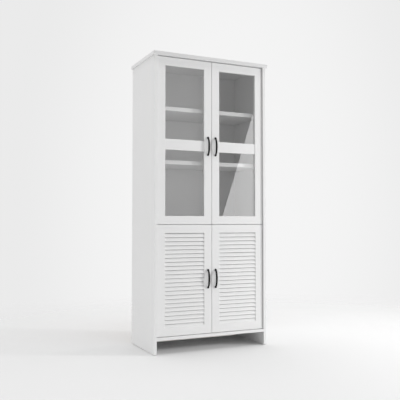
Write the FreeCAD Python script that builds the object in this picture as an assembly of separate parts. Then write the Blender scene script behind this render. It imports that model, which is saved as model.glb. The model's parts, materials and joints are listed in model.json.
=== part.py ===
import FreeCAD, Part
import collections
import math
import os

# Free-standing display cabinet: two glazed doors over two louvred doors, on a panel carcass.
# X runs along the front to the right, Y from the front to the back, Z up, all in millimetres.
# The origin is on the floor, under the middle of the whole cabinet.

# Carcass panels
carcass_width = 800.0          # across the outer faces of the two sides
carcass_depth = 420.0          # front edge to rear edge of a side
overall_height = 1882.0        # floor to the upper face of the top
side_thickness = 19.0
top_thickness = 22.0
top_side_overhang = 11.0
top_front_overhang = 13.0
top_edge_radius = 3.0
panel_thickness = 18.0         # bottom and middle panels
toe_height = 87.0              # floor to the underside of the bottom panel
split_height = 801.0           # middle of the gap between the upper and lower doors
panel_edge_radius = 1.0        # eased front edges of sides, bottom, middle panel and shelves

# Shelves divide their space evenly, then each upper one is lifted by its own amount
shelf_thickness = 25.0
shelf_setback = 48.0           # shelf and middle panel fronts behind the sides' front edges
shelf_end_gap = 1.0
shelf_back_gap = 2.0
second_shelf_lift = 40.5
top_shelf_lift = 23.0

# Back panels, slid into grooves
back_thickness = 3.0
back_inset = 18.0              # rear face of the back to the sides' rear edges
back_foot_gap = 4.0            # floor to the lower edge of the back
groove_depth = 8.0
groove_slack = 0.2             # groove wider than the back panel
back_edge_gap = 1.0            # back panel edge to groove floor

# Doors, set in between the sides
door_thickness = 20.0
door_recess = 10.0             # door face behind the sides' front edges
hinge_gap = 4.0                # door edge to side panel
centre_gap = 3.0               # between the two doors of a pair
split_gap = 3.0                # between upper and lower doors
door_bottom_gap = 3.0
door_top_gap = 4.0
frame_width = 53.0             # stiles, top rails and bottom rails
mid_rail_height = 68.0
mid_rail_drop = 24.0           # mid rail centre below the door's middle
mid_rail_setback = 3.0         # mid rail face behind the stiles' face
door_edge_ease = 1.0
opening_chamfer = 1.0

# Frame joints of the doors
tenon_thickness = 8.0
tenon_length = 12.0
tenon_shoulder = 14.0
joint_clearance = 0.15
mortise_spare_depth = 0.5

# Glazing
rebate_width = 10.0
glass_setback = 9.0            # door face to glass
glass_thickness = 4.0
glass_edge_gap = 2.0
bead_gap = 0.2

# Louvre slats
slat_pitch = 25.6              # wanted spacing; a whole number of slats fills the field
slat_foot_trim = 4.5           # what the bottom rail takes off the lowest slat
slat_width = 23.4              # lower edge to upper edge
slat_thickness = 4.5
slat_tilt = 14.0               # degrees from upright, lower edge forward
slat_face_gap = 0.3            # slat's lower edge behind the door's face
slat_edge_radius = 0.5
slat_end_gap = 0.1             # slat shoulder to stile
slat_trim_gap = 0.2            # trimmed slat to rail
slat_tenon_length = 7.5
slat_tenon_inset = 4.0         # tenon edge to slat edge
slat_tenon_cheek = 0.75        # tenon face to slat face

# Concealed hinges: cup in the door, arm on the side panel, one pin in the cup
hinge_end_inset = 100.0        # door end to the first hinge
cup_radius = 17.5
cup_from_edge = 22.0           # door edge to cup centre
cup_floor = 7.0                # wood left in front of the cup
cup_wall = 1.0
flange_lip = 2.0
flange_thickness = 1.2
cup_dowel_radius = 4.0
cup_dowel_length = 10.0
cup_dowel_spacing = 45.0
cup_dowel_offset = 9.5         # cup centre to the line of dowels
cup_dowel_rim = 1.5            # flange round each dowel
pin_radius = 1.5
pin_clearance = 0.05
pin_offset = 2.0               # pin nearer the door's edge than the cup's centre
eye_radius = 3.0
eye_floor_gap = 0.5            # arm eye to cup floor
arm_width = 10.0
arm_thickness = 3.0
arm_rim_gap = 1.5              # arm to cup rim, door closed
arm_corner_gap = 2.8           # arm to the door's rear corner, door opening
arm_side_gap = 0.4             # arm to cheek
cheek_thickness = 2.6
cheek_width = 8.0
cheek_rise = 3.0               # cheek above the pin's axis
plate_thickness = 4.0
plate_width = 16.0
plate_length = 44.0
plate_start_gap = 9.0          # arm bend to plate
wing_thickness = 1.6
wing_length = 14.0             # along the cabinet's depth
wing_rim = 6.0                 # wing past the screw's centre
plate_screw_spacing = 32.0
plate_screw_radius = 2.5
plate_screw_depth = 11.0
plate_screw_head_radius = 4.0
plate_screw_head_height = 1.6

# Bow handles
handle_spacing = 110.5         # between foot centres
handle_from_edge = 25.5        # door's lock edge to handle
handle_projection = 22.0
bow_width = 13.0               # at the middle
bow_thickness = 7.5
bow_end_width = 9.0
bow_end_thickness = 7.0
bow_sections = 7
foot_radius = 7.0
foot_collar = 2.0
foot_height = 8.0
foot_neck_radius = 5.0
handle_screw_radius = 2.0
handle_screw_slack = 0.25      # hole in the stile larger than the screw
handle_screw_depth = 6.0       # thread in the foot
handle_screw_head_radius = 4.0
handle_screw_head_height = 2.5

# Carcass fittings
fitting_inset = 60.0           # panel front or rear edge to the nearer cam lock
cam_radius = 7.5
cam_depth = 12.5
cam_bore_spare = 0.5
cam_reach = 34.0               # panel end to cam centre
cam_slot_width = 2.0
cam_slot_depth = 2.0
bolt_thread_radius = 3.0
bolt_thread_length = 11.0
bolt_shank_radius = 2.5
bolt_head_radius = 3.5
bolt_head_length = 3.0
bolt_way_radius = 4.0
dowel_radius = 4.0
dowel_length = 30.0
dowel_in_face = 11.0           # depth in the panel that the dowel stands on
shelf_pin_radius = 2.5
shelf_pin_depth = 10.0
shelf_pin_seat_radius = 4.0
shelf_pin_seat_length = 8.0
shelf_pin_flat = 2.0           # seat's flat above the pin's axis
shelf_pin_inset = 60.0         # shelf front or rear edge to pin
pin_hole_pitch = 32.0
back_screw_radius = 1.75
back_screw_length = 15.0
back_screw_head_radius = 3.5
back_screw_head_height = 2.0
back_screw_inset = 60.0        # side panel to the outer screws
glide_radius = 8.0
glide_thickness = 3.0
glide_nail_radius = 1.5
glide_nail_length = 12.0
glide_inset = 35.0             # side's front or rear edge to glide

# Places that follow from the sizes
half_width = carcass_width / 2
inner_half = half_width - side_thickness
forward_reach = max(handle_projection - door_recess, top_front_overhang)
front_y = (forward_reach - carcass_depth) / 2
rear_y = front_y + carcass_depth
shelf_front_y = front_y + shelf_setback
back_rear_y = rear_y - back_inset
back_front_y = back_rear_y - back_thickness
top_underside = overall_height - top_thickness
bottom_top = toe_height + panel_thickness
middle_underside = split_height - panel_thickness / 2
middle_top = split_height + panel_thickness / 2

door_front_y = front_y + door_recess
hinge_edge_x = hinge_gap - inner_half
door_width = inner_half - hinge_gap - centre_gap / 2
opening_left = frame_width
opening_right = door_width - frame_width
upper_door_bottom = split_height + split_gap / 2
upper_door_top = top_underside - door_top_gap
lower_door_bottom = bottom_top + door_bottom_gap
lower_door_top = split_height - split_gap / 2
mid_rail_centre = (upper_door_bottom + upper_door_top) / 2 - mid_rail_drop
mid_rail_bottom = mid_rail_centre - mid_rail_height / 2
mid_rail_top = mid_rail_centre + mid_rail_height / 2
louvre_bottom = lower_door_bottom + frame_width
louvre_top = lower_door_top - frame_width
lower_handle_height = (lower_door_bottom + lower_door_top) / 2
handle_u = door_width - handle_from_edge
tenon_front = (door_thickness - tenon_thickness) / 2

# Hinge geometry in the door: u from the hinge edge, v back from the door's face
pin_u = cup_from_edge - pin_offset
pin_v = cup_floor + cup_wall + eye_radius + eye_floor_gap
cup_mouth_radius = cup_radius - cup_wall
rim_u = cup_from_edge + cup_mouth_radius - pin_u
rim_v = door_thickness + flange_thickness - pin_v
arm_half = arm_thickness / 2
neck_lift = math.asin((arm_half + arm_rim_gap) / math.hypot(rim_u, rim_v))
neck_angle = math.degrees(math.atan2(rim_v, rim_u) + neck_lift)
neck_reach = math.hypot(pin_u, door_thickness - pin_v) + arm_corner_gap + arm_half
leg_u = plate_thickness - hinge_gap
bar_v = pin_v + neck_reach
plate_start_v = bar_v + arm_half + plate_start_gap
plate_screw_v = plate_start_v + plate_length / 2

UP = FreeCAD.Vector(0, 0, 1)
DOWN = FreeCAD.Vector(0, 0, -1)
RIGHTWARD = FreeCAD.Vector(1, 0, 0)
LEFTWARD = FreeCAD.Vector(-1, 0, 0)
BACKWARD = FreeCAD.Vector(0, 1, 0)
FORWARD = FreeCAD.Vector(0, -1, 0)
OVERCUT = 1.0                  # how far a cutting tool runs past an open face
FLAT = 0.001                   # two planes closer than this are the same plane

CamJoint = collections.namedtuple("CamJoint", "cams bolts dowels face_tools end_tools")


def even_heights(low, high, count):
    """Undersides of shelves that divide the height between two panels into equal clear spaces."""
    clear = (high - low - count * shelf_thickness) / (count + 1)
    return [low + clear * (i + 1) + shelf_thickness * i for i in range(count)]


def shelf_heights():
    """Undersides of the second shelf, the top shelf and the lower shelf."""
    second, highest = even_heights(middle_top, top_underside, 2)
    lower, = even_heights(bottom_top, middle_underside, 1)
    return second + second_shelf_lift, highest + top_shelf_lift, lower


def upper_hinge_heights():
    """Two hinges near the door's ends, and one midway between the shelves, clear of both."""
    second, highest, _ = shelf_heights()
    between = (second + shelf_thickness + highest) / 2
    return upper_door_bottom + hinge_end_inset, between, upper_door_top - hinge_end_inset


def lower_hinge_heights():
    """Two hinges, each the same way in from its end of the door."""
    return lower_door_bottom + hinge_end_inset, lower_door_top - hinge_end_inset


def all_hinge_heights():
    return lower_hinge_heights() + upper_hinge_heights()


def point(x, y, z):
    return FreeCAD.Vector(x, y, z)


def door_point(u, v, z):
    """Point of a left door: u from its hinge edge, v back from its face, z above the floor."""
    return point(hinge_edge_x + u, door_front_y + v, z)


def block(a, b):
    """Box between two opposite corners, given in any order."""
    low = point(min(a.x, b.x), min(a.y, b.y), min(a.z, b.z))
    return Part.makeBox(abs(a.x - b.x), abs(a.y - b.y), abs(a.z - b.z), low)


def rod(radius, start, end):
    """Round bar from one point to another."""
    axis = end - start
    return Part.makeCylinder(radius, axis.Length, start, axis)


def turned(profile, start, axis):
    """Solid of revolution from corners given as (radius, distance along the axis)."""
    corners = [point(radius, 0, along) for radius, along in profile]
    solid = Part.Face(Part.makePolygon(corners + corners[:1])).revolve(point(0, 0, 0), UP, 360)
    solid.Placement = FreeCAD.Placement(start, FreeCAD.Rotation(UP, axis))
    return solid


def screw(seat, axis, radius, length, head_radius, head_height):
    """Screw with a flat head on its seat and a plain shank along the axis."""
    profile = [(0, -head_height), (head_radius, -head_height), (head_radius, 0),
               (radius, 0), (radius, length), (0, length)]
    return turned(profile, seat, axis)


def prism(corners, sweep):
    """Straight bar whose section is a polygon."""
    return Part.Face(Part.makePolygon(corners + corners[:1])).extrude(sweep)


def one_solid(shape):
    """The solid alone, where a boolean operation wrapped it in a compound."""
    return shape.Solids[0] if len(shape.Solids) == 1 else shape


def fused(pieces):
    return one_solid(pieces[0].fuse(pieces[1:]).removeSplitter())


def carved(piece, tools):
    return one_solid(piece.cut(tools))


def mirrored(shape):
    """The same piece on the other side of the cabinet's middle."""
    return shape.mirror(point(0, 0, 0), RIGHTWARD)


def both_sides(shapes):
    return shapes + [mirrored(shape) for shape in shapes]


def front_edges(shape):
    """Edges that lie in the plane of a piece's front face."""
    front = shape.BoundBox.YMin
    return [edge for edge in shape.Edges if edge.BoundBox.YMax < front + FLAT]


def eased_front(panel):
    """Round the two long edges of a panel's front."""
    edges = front_edges(panel)
    longest = max(edge.Length for edge in edges)
    return panel.makeFillet(panel_edge_radius, [e for e in edges if e.Length > longest - FLAT])


# Carcass


def cam_lock(mouth, inward, bolt_side, bolt_depth):
    """Round cam in its bore, with a screwdriver slot and a way in for the bolt's head."""
    body = Part.makeCylinder(cam_radius, cam_depth, mouth, inward)
    across = inward.cross(bolt_side)
    centre = mouth + inward * bolt_depth
    head_way = rod(bolt_way_radius, centre - bolt_side * bolt_way_radius,
                   centre + bolt_side * (cam_radius + OVERCUT))
    corner = across * (cam_slot_width / 2) + bolt_side * (cam_radius / 2)
    slot = block(mouth - corner, mouth + corner + inward * cam_slot_depth)
    return carved(body, [head_way, slot])


def cam_bolt(seat, toward):
    """Bolt that stands on a face: thread in the face, shank and head towards the cam."""
    head_start = cam_reach - bolt_head_length
    profile = [(0, -bolt_thread_length), (bolt_thread_radius, -bolt_thread_length), (bolt_thread_radius, 0),
               (bolt_shank_radius, 0), (bolt_shank_radius, head_start), (bolt_head_radius, head_start),
               (bolt_head_radius, cam_reach), (0, cam_reach)]
    return turned(profile, seat, toward)


def cam_joint(cam_seats, dowel_seat, toward, bore_side, half_thickness):
    """Two cams and a dowel between a face and the end of a board that stands on it.

    toward points from the face into the board, bore_side from the board's middle to its cam bores.
    """
    mouths = [seat + toward * cam_reach + bore_side * half_thickness for seat in cam_seats]
    cams = [cam_lock(mouth, -bore_side, -toward, half_thickness) for mouth in mouths]
    bolts = [cam_bolt(seat, toward) for seat in cam_seats]
    dowel = rod(dowel_radius, dowel_seat - toward * dowel_in_face,
                dowel_seat + toward * (dowel_length - dowel_in_face))
    threads = [rod(bolt_thread_radius, seat - toward * bolt_thread_length, seat) for seat in cam_seats]
    bore_depth = cam_depth + cam_bore_spare
    bores = [Part.makeCylinder(cam_radius, bore_depth, mouth, -bore_side) for mouth in mouths]
    ways = [rod(bolt_way_radius, seat, seat + toward * cam_reach) for seat in cam_seats]
    return CamJoint(cams, bolts, [dowel], threads + [dowel], bores + ways + [dowel])


def fitting_depths(panel_front):
    """Y of the two cams and of the dowel between them."""
    first = panel_front + fitting_inset
    last = back_front_y - fitting_inset
    return first, last, (first + last) / 2


def panel_joint(panel_front, underside):
    """Fittings between the left side and the end of a level panel."""
    first, last, middle = fitting_depths(panel_front)
    z = underside + panel_thickness / 2
    seats = [point(-inner_half, y, z) for y in (first, last)]
    return cam_joint(seats, point(-inner_half, middle, z), RIGHTWARD, DOWN, panel_thickness / 2)


def top_joint():
    """Fittings between the top and the upper end of the left side."""
    first, last, middle = fitting_depths(front_y)
    x = -inner_half - side_thickness / 2
    seats = [point(x, y, top_underside) for y in (first, last)]
    return cam_joint(seats, point(x, middle, top_underside), DOWN, RIGHTWARD, side_thickness / 2)


def carcass_joints():
    """Left-hand fittings of the bottom panel, the middle panel and the top."""
    return panel_joint(front_y, toe_height), panel_joint(shelf_front_y, middle_underside), top_joint()


def back_groove(low, high):
    """Cutter for the groove that holds the back panels, across the whole width."""
    reach = inner_half + groove_depth
    return block(point(-reach, back_front_y - groove_slack / 2, low),
                 point(reach, back_rear_y + groove_slack / 2, high))


def shelf_pin_places(underside):
    """Axis points of a shelf's left-hand pins, on the side's inner face."""
    ys = shelf_front_y + shelf_pin_inset, back_front_y - shelf_back_gap - shelf_pin_inset
    return [point(-inner_half, y, underside - shelf_pin_flat) for y in ys]


def shelf_pin(place):
    """Pin in the side panel with a round seat, cut flat where the shelf lies on it."""
    profile = [(0, -shelf_pin_depth), (shelf_pin_radius, -shelf_pin_depth), (shelf_pin_radius, 0),
               (shelf_pin_seat_radius, 0), (shelf_pin_seat_radius, shelf_pin_seat_length),
               (0, shelf_pin_seat_length)]
    seat_corner = point(shelf_pin_seat_length + OVERCUT, shelf_pin_seat_radius, shelf_pin_seat_radius)
    above = block(place + point(0, -shelf_pin_seat_radius, shelf_pin_flat), place + seat_corner)
    return carved(turned(profile, place, RIGHTWARD), [above])


def shelf_pin_holes():
    """Holes for every shelf pin, with a spare hole above and below each."""
    places = [place for underside in shelf_heights() for place in shelf_pin_places(underside)]
    lifts = [UP * (pin_hole_pitch * step) for step in (-1, 0, 1)]
    inset = LEFTWARD * shelf_pin_depth
    return [rod(shelf_pin_radius, place + lift, place + lift + inset) for place in places for lift in lifts]


def plate_screw_seats():
    """Where the hinge plate screws meet the left side's inner face."""
    rises = (-plate_screw_spacing / 2, plate_screw_spacing / 2)
    return [door_point(-hinge_gap, plate_screw_v, z + rise) for z in all_hinge_heights() for rise in rises]


def glide_places():
    """Middles of the two glides under the left side, on the floor."""
    x = -inner_half - side_thickness / 2
    return [point(x, y, 0) for y in (front_y + glide_inset, rear_y - glide_inset)]


def side_panel():
    """Left side, from the glides to the top, with every hole and groove in it."""
    board = eased_front(block(point(-half_width, front_y, glide_thickness),
                              point(-inner_half, rear_y, top_underside)))
    bottom, middle, top = carcass_joints()
    screw_reach = LEFTWARD * plate_screw_depth
    tools = bottom.face_tools + middle.face_tools + top.end_tools + shelf_pin_holes()
    tools += [rod(plate_screw_radius, seat, seat + screw_reach) for seat in plate_screw_seats()]
    nail_starts = [place + UP * glide_thickness for place in glide_places()]
    tools += [rod(glide_nail_radius, start, start + UP * glide_nail_length) for start in nail_starts]
    tools.append(back_groove(glide_thickness - OVERCUT, top_underside + OVERCUT))
    return carved(board, tools)


def level_panel(panel_front, underside, joint):
    """Bottom or middle panel between the sides."""
    board = eased_front(block(point(-inner_half, panel_front, underside),
                              point(inner_half, back_front_y, underside + panel_thickness)))
    return carved(board, both_sides(joint.end_tools) + back_screw_holes(underside))


def top_panel():
    """Top with rounded front and side edges, grooved below for the back."""
    reach = half_width + top_side_overhang
    slab = block(point(-reach, front_y - top_front_overhang, top_underside),
                 point(reach, rear_y, overall_height))
    rounded = [edge for edge in slab.Edges if edge.BoundBox.YMin < rear_y - FLAT]
    slab = slab.makeFillet(top_edge_radius, rounded)
    groove = back_groove(top_underside - OVERCUT, top_underside + groove_depth)
    return carved(slab, both_sides(top_joint().face_tools) + [groove])


def back_screw_rows():
    """Heights of the screws in the bottom panel, and either side of the joint on the middle panel."""
    beside_joint = panel_thickness / 4
    return toe_height + panel_thickness / 2, split_height - beside_joint, split_height + beside_joint


def back_screws():
    """Screws from behind, through the back panels into the rear edges of the level panels."""
    reach = inner_half - back_screw_inset
    return [screw(point(x, back_rear_y, z), FORWARD, back_screw_radius, back_screw_length,
                  back_screw_head_radius, back_screw_head_height)
            for z in back_screw_rows() for x in (-reach, 0, reach)]


def back_screw_holes(underside):
    """Those screws' shanks that run into the panel with this underside."""
    top = underside + panel_thickness
    return [shank for shank in back_screws() if underside < shank.BoundBox.Center.z < top]


def back_panel(low, high):
    reach = inner_half + groove_depth - back_edge_gap
    board = block(point(-reach, back_front_y, low), point(reach, back_rear_y, high))
    return carved(board, back_screws())


def shelf(underside):
    reach = inner_half - shelf_end_gap
    return eased_front(block(point(-reach, shelf_front_y, underside),
                             point(reach, back_front_y - shelf_back_gap, underside + shelf_thickness)))


def floor_glide(place):
    """Round foot with a nail into the side's lower end."""
    top = glide_thickness + glide_nail_length
    profile = [(0, 0), (glide_radius, 0), (glide_radius, glide_thickness),
               (glide_nail_radius, glide_thickness), (glide_nail_radius, top), (0, top)]
    return turned(profile, place, UP)


# Hinges


def hinge_arm(z):
    """Gooseneck arm: eye on the pin, neck out of the cup, round the door's corner to the plate."""
    pin = door_point(pin_u, pin_v, z - arm_width / 2)
    rise = UP * arm_width
    eye = rod(eye_radius, pin, pin + rise)
    neck_end = pin + RIGHTWARD * (neck_reach + arm_half)
    neck = block(pin + FORWARD * arm_half, neck_end + BACKWARD * arm_half + rise)
    sweep = 90 - neck_angle
    bend = Part.makeCylinder(neck_reach + arm_half, arm_width, pin, UP, sweep)
    bend = bend.cut(Part.makeCylinder(neck_reach - arm_half, arm_width, pin, UP, sweep))
    for piece in (neck, bend):
        piece.rotate(pin, UP, neck_angle)
    low, high = z - arm_width / 2, z + arm_width / 2
    bar = block(door_point(leg_u, bar_v - arm_half, low), door_point(pin_u, bar_v + arm_half, high))
    leg = block(door_point(leg_u, bar_v - arm_half, low),
                door_point(leg_u + arm_thickness, plate_start_v + plate_length, high))
    arm = fused([eye, neck, bend, bar, leg])
    return carved(arm, [rod(pin_radius + pin_clearance, pin + DOWN, pin + rise + UP)])


def hinge_plate(z):
    """Mounting plate on the side panel, with a screwed wing above and below the arm."""
    base = block(door_point(-hinge_gap, plate_start_v, z - plate_width / 2),
                 door_point(leg_u, plate_start_v + plate_length, z + plate_width / 2))
    half_span = plate_screw_spacing / 2 + wing_rim
    wing = block(door_point(-hinge_gap, plate_screw_v - wing_length / 2, z - half_span),
                 door_point(wing_thickness - hinge_gap, plate_screw_v + wing_length / 2, z + half_span))
    corners = [edge for edge in wing.Edges if edge.BoundBox.XLength > wing_thickness - FLAT]
    wing = wing.makeFillet(wing_length / 3, corners)
    seats = [seat for seat in plate_screw_seats() if abs(seat.z - z) < half_span]
    holes = [rod(plate_screw_radius, seat, seat + RIGHTWARD * wing_thickness) for seat in seats]
    return carved(fused([base, wing]), holes)


def plate_screw(seat):
    """Screw through a plate's wing into the side panel."""
    return screw(seat + RIGHTWARD * wing_thickness, LEFTWARD, plate_screw_radius,
                 plate_screw_depth + wing_thickness, plate_screw_head_radius, plate_screw_head_height)


def cup_dowels(z):
    """The two moulded dowels that press into the stile beside the cup."""
    u = cup_from_edge + cup_dowel_offset
    half = cup_dowel_spacing / 2
    ends = [door_point(u, door_thickness, z + rise) for rise in (-half, half)]
    return [rod(cup_dowel_radius, end + FORWARD * cup_dowel_length, end) for end in ends]


def cup_bore(z):
    """The cup's round hole in the back of the stile."""
    return rod(cup_radius, door_point(cup_from_edge, cup_floor, z),
               door_point(cup_from_edge, door_thickness, z))


def hinge_cup(z):
    """Pressed cup with a flange on the door's back and two cheeks inside that hold the pin."""
    flange_back = door_thickness + flange_thickness
    plate = rod(cup_radius + flange_lip, door_point(cup_from_edge, door_thickness, z),
                door_point(cup_from_edge, flange_back, z))
    dowel_u = cup_from_edge + cup_dowel_offset
    ear_radius = cup_dowel_radius + cup_dowel_rim
    half = cup_dowel_spacing / 2
    ear_starts = [door_point(dowel_u, door_thickness, z + rise) for rise in (-half, half)]
    ears = [rod(ear_radius, start, start + BACKWARD * flange_thickness) for start in ear_starts]
    strap = block(door_point(dowel_u - ear_radius, door_thickness, z - half),
                  door_point(dowel_u + ear_radius, flange_back, z + half))
    shell = fused([cup_bore(z), plate, strap] + ears + cup_dowels(z))
    hollow = rod(cup_mouth_radius, door_point(cup_from_edge, cup_floor + cup_wall, z),
                 door_point(cup_from_edge, flange_back + OVERCUT, z))
    inner = arm_width / 2 + arm_side_gap
    outer = inner + cheek_thickness
    cheeks = [block(door_point(pin_u - cheek_width / 2, cup_floor + cup_wall / 2, z + side * inner),
                    door_point(pin_u + cheek_width / 2, pin_v + cheek_rise, z + side * outer))
              for side in (-1, 1)]
    return carved(fused([carved(shell, [hollow])] + cheeks), [hinge_pin(z)])


def hinge_pin(z):
    """Pin through both cheeks, on the axis that the door turns about."""
    half = arm_width / 2 + arm_side_gap + cheek_thickness
    return rod(pin_radius, door_point(pin_u, pin_v, z - half), door_point(pin_u, pin_v, z + half))


# Door frames


def door_slab(low, high):
    """A whole left door as one board with eased front edges."""
    slab = block(door_point(0, 0, low), door_point(door_width, door_thickness, high))
    return slab.makeFillet(door_edge_ease, front_edges(slab))


def rectangle(v, grow, low, high):
    """Outline of the door's opening in the plane v, grown on every side."""
    left, right = opening_left - grow, opening_right + grow
    corners = [door_point(left, v, low - grow), door_point(right, v, low - grow),
               door_point(right, v, high + grow), door_point(left, v, high + grow)]
    return Part.makePolygon(corners + corners[:1])


def opening_bevel(low, high):
    """Cutter for the mitred chamfer round an opening's front."""
    return Part.makeLoft([rectangle(-opening_chamfer, 2 * opening_chamfer, low, high),
                          rectangle(opening_chamfer, 0, low, high)], True, True)


def tenons(low, high, spare=0.0, deeper=0.0):
    """Tenons at both ends of a rail, or with a spare, the mortises for them."""
    front, back = tenon_front - spare, tenon_front + tenon_thickness + spare
    bottom, top = low + tenon_shoulder - spare, high - tenon_shoulder + spare
    length = tenon_length + deeper
    return [block(door_point(opening_left - length, front, bottom), door_point(opening_left, back, top)),
            block(door_point(opening_right, front, bottom), door_point(opening_right + length, back, top))]


def mortises(low, high):
    return tenons(low, high, joint_clearance, mortise_spare_depth)


def rail_board(low, high, setback=0.0):
    return block(door_point(opening_left, setback, low), door_point(opening_right, door_thickness, high))


def rail(slab, low, high, cutters):
    """Top or bottom rail with its tenons."""
    board = carved(rail_board(low, high).common(slab), cutters)
    return fused([board] + tenons(low, high))


def mid_rail(rebates):
    """Rail between the panes, its face behind the stiles' and both its front edges bevelled."""
    board = rail_board(mid_rail_bottom, mid_rail_top, mid_rail_setback)
    long_edges = [edge for edge in front_edges(board) if edge.BoundBox.XLength > FLAT]
    board = carved(board.makeChamfer(opening_chamfer, long_edges), rebates)
    return fused([board] + tenons(mid_rail_bottom, mid_rail_top))


def stiles(slab, low, high, tools, hinge_heights, handle_height):
    """Hinge stile with its cup bores, and lock stile with its handle holes."""
    hinge_board = block(door_point(0, 0, low), door_point(opening_left, door_thickness, high))
    lock_board = block(door_point(opening_right, 0, low), door_point(door_width, door_thickness, high))
    cup_tools = [tool for z in hinge_heights for tool in [cup_bore(z)] + cup_dowels(z)]
    hole_radius = handle_screw_radius + handle_screw_slack
    through = BACKWARD * door_thickness
    handle_tools = [rod(hole_radius, foot, foot + through) for foot in handle_feet(handle_height)]
    return (carved(hinge_board.common(slab), tools + cup_tools),
            carved(lock_board.common(slab), tools + handle_tools))


def pane_openings():
    """Bottom and top of the sight openings under and over the mid rail."""
    lower_pane = upper_door_bottom + frame_width, mid_rail_bottom
    upper_pane = mid_rail_top, upper_door_top - frame_width
    return lower_pane, upper_pane


def rebate(low, high):
    """Cutter for the step behind an opening that holds a pane and its beads."""
    grow = rebate_width
    return block(door_point(opening_left - grow, glass_setback, low - grow),
                 door_point(opening_right + grow, door_thickness + OVERCUT, high + grow))


def glass_pane(low, high):
    grow = rebate_width - glass_edge_gap
    return block(door_point(opening_left - grow, glass_setback, low - grow),
                 door_point(opening_right + grow, glass_setback + glass_thickness, high + grow))


def glass_beads(low, high):
    """Four mitred strips that hold a pane from behind."""
    v = glass_setback + glass_thickness
    outer = rectangle(v, rebate_width - bead_gap, low, high).OrderedVertexes
    inner = rectangle(v, 0, low, high).OrderedVertexes
    sweep = BACKWARD * (door_thickness - v)
    strips = []
    for i in range(4):
        after = (i + 1) % 4
        corners = [outer[i].Point, outer[after].Point, inner[after].Point, inner[i].Point]
        strips.append(prism(corners, sweep))
    return strips


# Louvres


def slat_section(trim=0.0, cheek=0.0):
    """Corners of a slat's section at the door's hinge edge, its lower front corner at height zero.

    trim takes that much off its two edges, cheek off its two faces.
    """
    tilt = math.radians(slat_tilt)
    along = point(0, math.sin(tilt), math.cos(tilt))
    behind = point(0, math.cos(tilt), -math.sin(tilt))
    foot = door_point(0, slat_face_gap, 0)
    corners = ((trim, cheek), (trim, slat_thickness - cheek),
               (slat_width - trim, slat_thickness - cheek), (slat_width - trim, cheek))
    return [foot + along * rise + behind * depth for rise, depth in corners]


def slat_body():
    """One slat between the stiles, with eased edges."""
    start = RIGHTWARD * (opening_left + slat_end_gap)
    length = opening_right - opening_left - 2 * slat_end_gap
    body = prism([corner + start for corner in slat_section()], RIGHTWARD * length)
    long_edges = [edge for edge in body.Edges if edge.BoundBox.XLength > FLAT]
    return body.makeFillet(slat_edge_radius, long_edges)


def slat_tenons(reach_in, reach_out, spare):
    """Flat tenons of that slat, or the pockets for them.

    They run from reach_out inside the opening to reach_in deep in the stile.
    """
    section = slat_section(slat_tenon_inset - spare, slat_tenon_cheek - spare)
    left = [corner + RIGHTWARD * (opening_left - reach_in) for corner in section]
    right = [corner + RIGHTWARD * (opening_right - reach_out) for corner in section]
    sweep = RIGHTWARD * (reach_in + reach_out)
    return [prism(left, sweep), prism(right, sweep)]


def slat_heights():
    """Lower edges of the slats, from the top of the field down to the bottom rail."""
    count = round((louvre_top - louvre_bottom) / slat_pitch)
    pitch = (louvre_top - louvre_bottom + slat_foot_trim) / count
    return [louvre_top - pitch * (i + 1) for i in range(count)]


def lifted(shapes, z):
    return [shape.translated(UP * z) for shape in shapes]


def slat_pockets():
    """Pockets in both stiles for every slat's tenons."""
    pair = slat_tenons(slat_tenon_length + mortise_spare_depth, 0.0, joint_clearance)
    return [pocket for z in slat_heights() for pocket in lifted(pair, z)]


def louvre_slats():
    """All slats; the highest and the lowest are trimmed to the rails."""
    slat = fused([slat_body()] + slat_tenons(slat_tenon_length, slat_end_gap, 0.0))
    field = block(door_point(0, -OVERCUT, louvre_bottom + slat_trim_gap),
                  door_point(door_width, door_thickness + OVERCUT, louvre_top - slat_trim_gap))
    return [one_solid(piece.common(field)) for z in slat_heights() for piece in lifted([slat], z)]


# Handles


def handle_feet(height):
    """Foot centres of a left door's handle, on the door's face."""
    return [door_point(handle_u, 0, height + rise) for rise in (-handle_spacing / 2, handle_spacing / 2)]


def bow_section(height, share):
    """Oval across the bow, share of the way round its half ellipse from the lower foot."""
    turn = math.pi * share
    swell = math.sin(turn)
    width = bow_end_width + (bow_width - bow_end_width) * swell
    thickness = bow_end_thickness + (bow_thickness - bow_end_thickness) * swell
    rise = handle_projection - bow_thickness / 2
    spread = handle_spacing / 2
    centre = door_point(handle_u, -rise * swell, height - spread * math.cos(turn))
    outward = point(0, -spread * math.sin(turn), -rise * math.cos(turn)).normalize()
    oval = Part.Ellipse(centre + RIGHTWARD * (width / 2), centre + outward * (thickness / 2), centre)
    return Part.Wire(oval.toShape())


def bow_handle(height):
    """Bow that swells to the middle, on two round feet with threaded holes."""
    shares = [i / (bow_sections - 1) for i in range(bow_sections)]
    bow = Part.makeLoft([bow_section(height, share) for share in shares], True)
    foot_profile = [(0, 0), (foot_radius, 0), (foot_radius, foot_collar), (foot_neck_radius, foot_height),
                    (0, foot_height)]
    places = handle_feet(height)
    feet = [turned(foot_profile, place, FORWARD) for place in places]
    threads = [rod(handle_screw_radius, place, place + FORWARD * handle_screw_depth) for place in places]
    return carved(fused([bow] + feet), threads)


def handle_screws(height):
    """Screws from the back of the stile into the handle's feet."""
    return [screw(foot + BACKWARD * door_thickness, FORWARD, handle_screw_radius,
                  door_thickness + handle_screw_depth, handle_screw_head_radius, handle_screw_head_height)
            for foot in handle_feet(height)]


# Whole pieces, by name


def door_hardware(hinge_heights, handle_height):
    return {
        "handle": bow_handle(handle_height),
        "handle_screws": Part.makeCompound(handle_screws(handle_height)),
        "hinge_cups": Part.makeCompound([hinge_cup(z) for z in hinge_heights]),
        "hinge_pins": Part.makeCompound([hinge_pin(z) for z in hinge_heights]),
    }


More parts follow.
